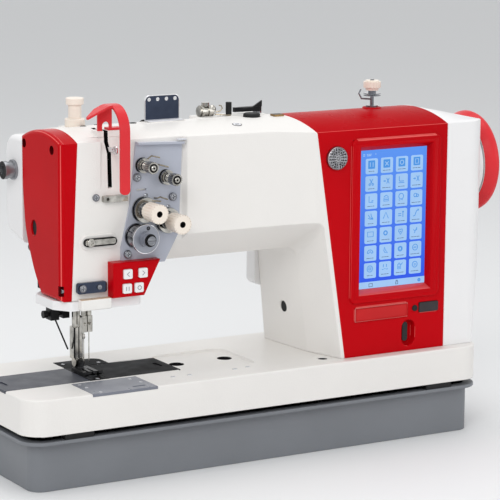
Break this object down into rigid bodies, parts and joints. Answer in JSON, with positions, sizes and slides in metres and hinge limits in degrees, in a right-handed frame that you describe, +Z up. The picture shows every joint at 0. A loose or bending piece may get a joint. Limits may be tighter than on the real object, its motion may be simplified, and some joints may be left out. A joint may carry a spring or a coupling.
{
  "type": "double needle lockstitch machine",
  "caption": "Flat-bed double needle lockstitch machine head with crowned arm, touch-screen pillar, handwheel, thread tensions, sprung keys, presser foot, slide plates and oil pan.",
  "frame": {"origin": "underside of the oil pan, straight below the point midway between the two needles", "axes": "+X along the arm towards the handwheel, +Y to the back, +Z up"},
  "size_m": [0.622, 0.187, 0.406],
  "materials": {
    "white_enamel": "fine textured enamel",
    "white_cover": "satin",
    "red_gloss": "gloss",
    "coral": "gloss",
    "speaker_grey": "fine perforation",
    "pan_grey": "satin",
    "black_rubber": "matt",
    "charcoal": "satin",
    "blue_grey": "satin",
    "black_metal": "satin",
    "black_plastic": "matt",
    "cream": "satin",
    "screen": "gloss",
    "sight": "gloss",
    "lamp": "satin",
    "chrome": "polished",
    "steel": "ground",
    "cast": "cast",
    "alloy": "cast"
  },
  "bodies": {
    "head": {"bed": "white_enamel", "arm": "white_enamel", "end_cover": "white_cover", "rear_cover": "white_cover", "actuator_cover": "white_cover", "nose_plate": "white_cover", "face_plate": "red_gloss", "panel_housing": "red_gloss", "key_box": "red_gloss", "take_up_guard": "coral", "speaker_grille": "speaker_grey", "oil_pan": "pan_grey", "pan_cushions": "black_rubber", "rubber_plugs": "black_rubber", "timing_belt": "black_rubber", "tension_plate": "blue_grey", "front_plate": "blue_grey", "guide_bar": "black_metal", "nose_brackets": "black_metal", "rear_plate": "black_metal", "needle_plate": "black_metal", "display": "screen", "oil_sight": "sight", "work_lamp": "lamp", "thread_guides": "chrome", "guide_plate": "chrome", "actuator_stop": "chrome", "tension_discs": "chrome", "bobbin_winder": "chrome", "screws": "steel", "bobbin_cases": "steel", "hook_saddles": "cast", "drive_motor": "alloy", "bobbins": "alloy"},
    "drive_line": {"main_shaft": "steel", "handwheel": "red_gloss"},
    "lower_drive": {"lower_shaft": "steel"},
    "left_hook": {"hook_left": "steel"},
    "right_hook": {"hook_right": "steel"},
    "left_needle": {"needle_bar_left": "steel"},
    "right_needle": {"needle_bar_right": "steel"},
    "take_up": {"take_up_lever": "chrome"},
    "presser": {"presser_bar": "chrome"},
    "foot": {"presser_foot": "black_metal"},
    "lifter": {"hand_lifter": "black_metal"},
    "wiper_arm": {"wiper": "steel"},
    "left_slide": {"slide_left": "charcoal"},
    "right_slide": {"slide_right": "black_metal"},
    "feed": {"feed_bar": "steel"},
    "left_nut": {"tension_nut_left": "cream"},
    "right_nut": {"tension_nut_right": "cream"},
    "check_spring": {"take_up_spring": "chrome"},
    "pressure_knob": {"presser_regulator": "cream"},
    "post_knob": {"winder_knob": "cream"},
    "trip_lever": {"winder_lever": "black_plastic"},
    "upper_left_key": {"key_upper_left": "white_cover"},
    "upper_right_key": {"key_upper_right": "white_cover"},
    "lower_left_key": {"key_lower_left": "white_cover"},
    "lower_right_key": {"key_lower_right": "white_cover"},
    "port_flap": {"port_cover": "black_rubber"}
  },
  "joints": [
    {"name": "handwheel_turn", "type": "hinge", "parent": "head", "child": "drive_line", "pos_m": [0.3, 0, 0.303], "axis": [1, 0, 0], "continuous": true},
    {"name": "lower_shaft_turn", "type": "hinge", "parent": "head", "child": "lower_drive", "pos_m": [0.2, 0.024, 0.04], "axis": [1, 0, 0], "continuous": true},
    {"name": "left_hook_turn", "type": "hinge", "parent": "head", "child": "left_hook", "pos_m": [-0.0222, -0.002, 0.062], "axis": [0, 0, 1], "continuous": true},
    {"name": "right_hook_turn", "type": "hinge", "parent": "head", "child": "right_hook", "pos_m": [0.0222, -0.002, 0.062], "axis": [0, 0, 1], "continuous": true},
    {"name": "left_needle_bar_stroke", "type": "slide", "parent": "head", "child": "left_needle", "axis": [0, 0, 1], "range_m": [-0.0334, 0]},
    {"name": "right_needle_bar_stroke", "type": "slide", "parent": "head", "child": "right_needle", "axis": [0, 0, 1], "range_m": [-0.0334, 0]},
    {"name": "take_up_swing", "type": "hinge", "parent": "head", "child": "take_up", "pos_m": [0.0064, -0.01, 0.328], "axis": [1, 0, 0], "range_deg": [-20, 30]},
    {"name": "presser_lift", "type": "slide", "parent": "head", "child": "presser", "axis": [0, 0, 1], "range_m": [0, 0.013]},
    {"name": "foot_tilt", "type": "hinge", "parent": "presser", "child": "foot", "pos_m": [0, 0.02, 0.111], "axis": [-1, 0, 0], "range_deg": [0, 12]},
    {"name": "hand_lifter_turn", "type": "hinge", "parent": "head", "child": "lifter", "pos_m": [0, 0.051, 0.238], "axis": [0, -1, 0], "range_deg": [0, 40]},
    {"name": "wiper_swing", "type": "hinge", "parent": "head", "child": "wiper_arm", "pos_m": [-0.008, 0.038, 0.164], "axis": [1, 0, 0], "range_deg": [-35, 0]},
    {"name": "left_slide_draw", "type": "slide", "parent": "head", "child": "left_slide", "axis": [-1, 0, 0], "range_m": [0, 0.08]},
    {"name": "right_slide_draw", "type": "slide", "parent": "head", "child": "right_slide", "axis": [1, 0, 0], "range_m": [0, 0.085]},
    {"name": "feed_stroke", "type": "slide", "parent": "head", "child": "feed", "axis": [0, 1, 0], "range_m": [-0.003, 0.003]},
    {"name": "left_tension_turn", "type": "hinge", "parent": "head", "child": "left_nut", "pos_m": [0.045, -0.07, 0.2874], "axis": [0, -1, 0], "continuous": true},
    {"name": "right_tension_turn", "type": "hinge", "parent": "head", "child": "right_nut", "pos_m": [0.073, -0.07, 0.274], "axis": [0, -1, 0], "continuous": true},
    {"name": "check_spring_swing", "type": "hinge", "parent": "head", "child": "check_spring", "pos_m": [0.036, -0.06, 0.2595], "axis": [0, -1, 0], "range_deg": [0, 35], "stiffness_Nm_per_rad": 0.05},
    {"name": "pressure_knob_turn", "type": "hinge", "parent": "head", "child": "pressure_knob", "pos_m": [0, 0.025, 0.387], "axis": [0, 0, 1], "continuous": true},
    {"name": "winder_tension_turn", "type": "hinge", "parent": "head", "child": "post_knob", "pos_m": [0.37, 0.004, 0.397], "axis": [0, 0, 1], "continuous": true},
    {"name": "winder_trip_swing", "type": "hinge", "parent": "head", "child": "trip_lever", "pos_m": [0.226, 0.02, 0.378], "axis": [0, 0, 1], "range_deg": [-20, 20]},
    {"name": "upper_left_key_press", "type": "slide", "parent": "head", "child": "upper_left_key", "axis": [0, 1, 0], "range_m": [0, 0.0015], "stiffness_N_per_m": 800},
    {"name": "upper_right_key_press", "type": "slide", "parent": "head", "child": "upper_right_key", "axis": [0, 1, 0], "range_m": [0, 0.0015], "stiffness_N_per_m": 800},
    {"name": "lower_left_key_press", "type": "slide", "parent": "head", "child": "lower_left_key", "axis": [0, 1, 0], "range_m": [0, 0.0015], "stiffness_N_per_m": 800},
    {"name": "lower_right_key_press", "type": "slide", "parent": "head", "child": "lower_right_key", "axis": [0, 1, 0], "range_m": [0, 0.0015], "stiffness_N_per_m": 800},
    {"name": "port_flap_open", "type": "hinge", "parent": "head", "child": "port_flap", "pos_m": [0.387, -0.0762, 0.151], "axis": [0, 0, -1], "range_deg": [0, 100]}
  ],
  "couplings": [
    {"joint": "lower_shaft_turn", "follows": "handwheel_turn", "ratio": 1},
    {"joint": "left_hook_turn", "follows": "handwheel_turn", "ratio": 2},
    {"joint": "right_hook_turn", "follows": "handwheel_turn", "ratio": 2}
  ]
}
